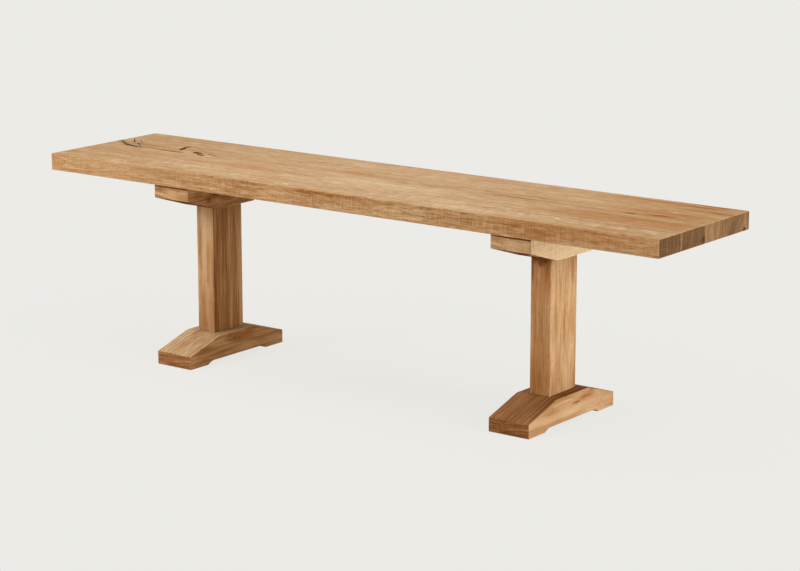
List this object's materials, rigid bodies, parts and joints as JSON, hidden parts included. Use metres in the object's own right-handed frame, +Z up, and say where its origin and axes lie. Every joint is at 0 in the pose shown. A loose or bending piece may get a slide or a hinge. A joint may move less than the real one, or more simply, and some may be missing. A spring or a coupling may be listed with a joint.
{
  "type": "dining bench",
  "caption": "Solid oak dining bench: a straight plank seat glued from boards, on posts between tapered feet and tapered cleats.",
  "frame": {"origin": "on the floor, midway between the two feet and under the middle of the seat", "axes": "+X along the seat, +Y across the seat, +Z up"},
  "size_m": [1.6, 0.35, 0.45],
  "materials": {
    "oak_seat": "matt oiled oak with fine saw marks",
    "oak_leg": "matt oiled oak",
    "zinc_steel": "bright zinc plate",
    "insert_steel": "yellow zinc plate"
  },
  "bodies": {
    "root": {"seat_board_1": "oak_seat", "seat_board_2": "oak_seat", "seat_board_3": "oak_seat", "seat_board_4": "oak_seat", "left_cleat": "oak_leg", "left_post": "oak_leg", "left_foot": "oak_leg", "right_cleat": "oak_leg", "right_post": "oak_leg", "right_foot": "oak_leg", "left_bolt_1": "zinc_steel", "left_bolt_2": "zinc_steel", "left_bolt_3": "zinc_steel", "left_bolt_4": "zinc_steel", "right_bolt_1": "zinc_steel", "right_bolt_2": "zinc_steel", "right_bolt_3": "zinc_steel", "right_bolt_4": "zinc_steel", "left_washer_1": "zinc_steel", "left_washer_2": "zinc_steel", "left_washer_3": "zinc_steel", "left_washer_4": "zinc_steel", "right_washer_1": "zinc_steel", "right_washer_2": "zinc_steel", "right_washer_3": "zinc_steel", "right_washer_4": "zinc_steel", "left_insert_1": "insert_steel", "left_insert_2": "insert_steel", "left_insert_3": "insert_steel", "left_insert_4": "insert_steel", "right_insert_1": "insert_steel", "right_insert_2": "insert_steel", "right_insert_3": "insert_steel", "right_insert_4": "insert_steel"}
  },
  "joints": []
}
